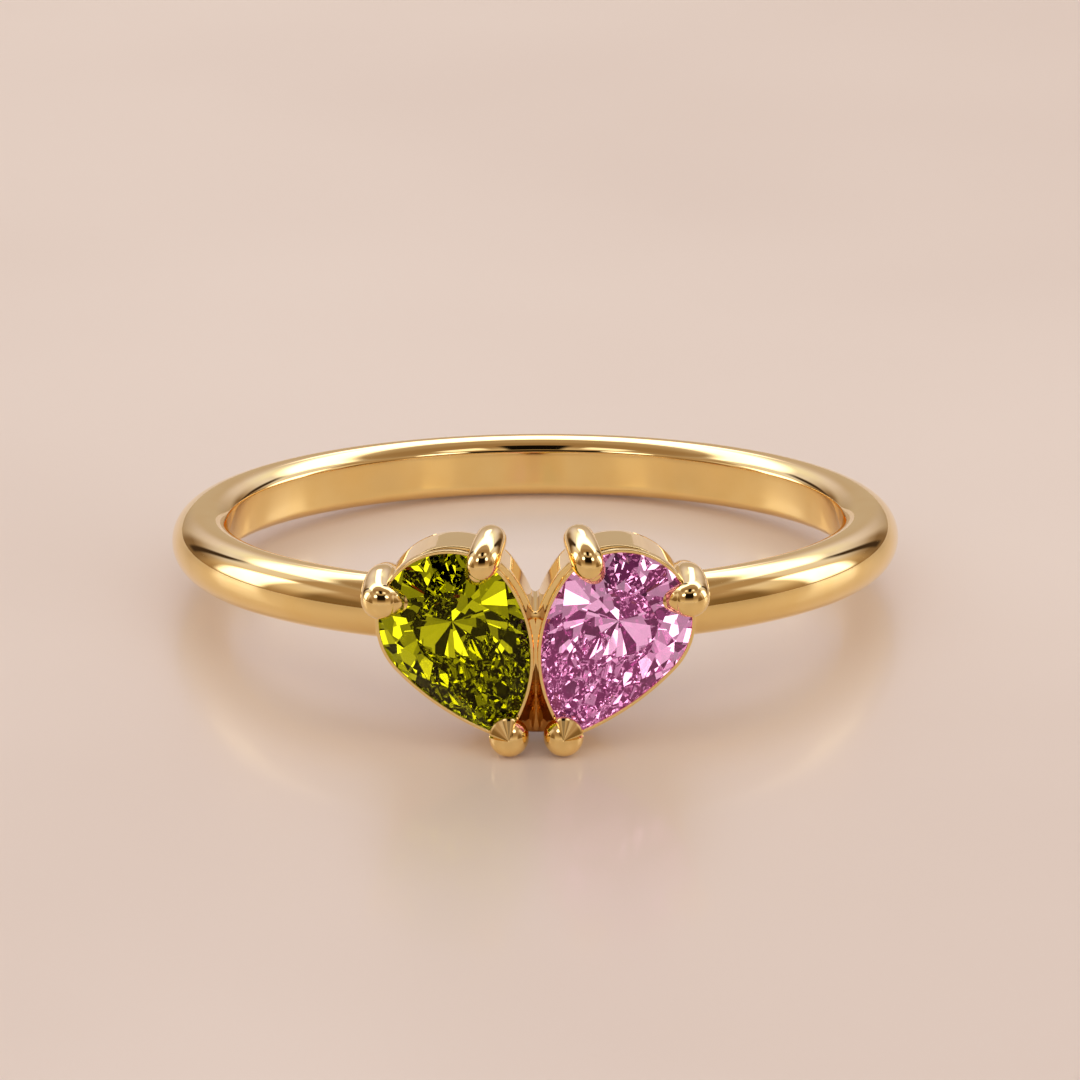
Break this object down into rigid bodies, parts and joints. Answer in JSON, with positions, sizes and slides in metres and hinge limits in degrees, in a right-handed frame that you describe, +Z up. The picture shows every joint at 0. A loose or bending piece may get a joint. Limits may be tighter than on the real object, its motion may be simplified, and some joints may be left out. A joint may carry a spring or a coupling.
{
  "type": "finger ring",
  "caption": "Finger ring with a plain rounded band and a heart-shaped head of pear-cut stones held in claws.",
  "frame": {"origin": "middle of the footprint, on the surface that the ring lies on", "axes": "+Z up, out of the finger hole within about 5.5 degrees; -Y towards the head; +X towards the pink stone"},
  "size_m": [0.0194, 0.023, 0.0057],
  "materials": {
    "gold": "polished",
    "green_gem": "polished",
    "pink_gem": "polished"
  },
  "bodies": {
    "root": {"band_and_settings": "gold", "green_stone": "green_gem", "pink_stone": "pink_gem"}
  },
  "joints": []
}
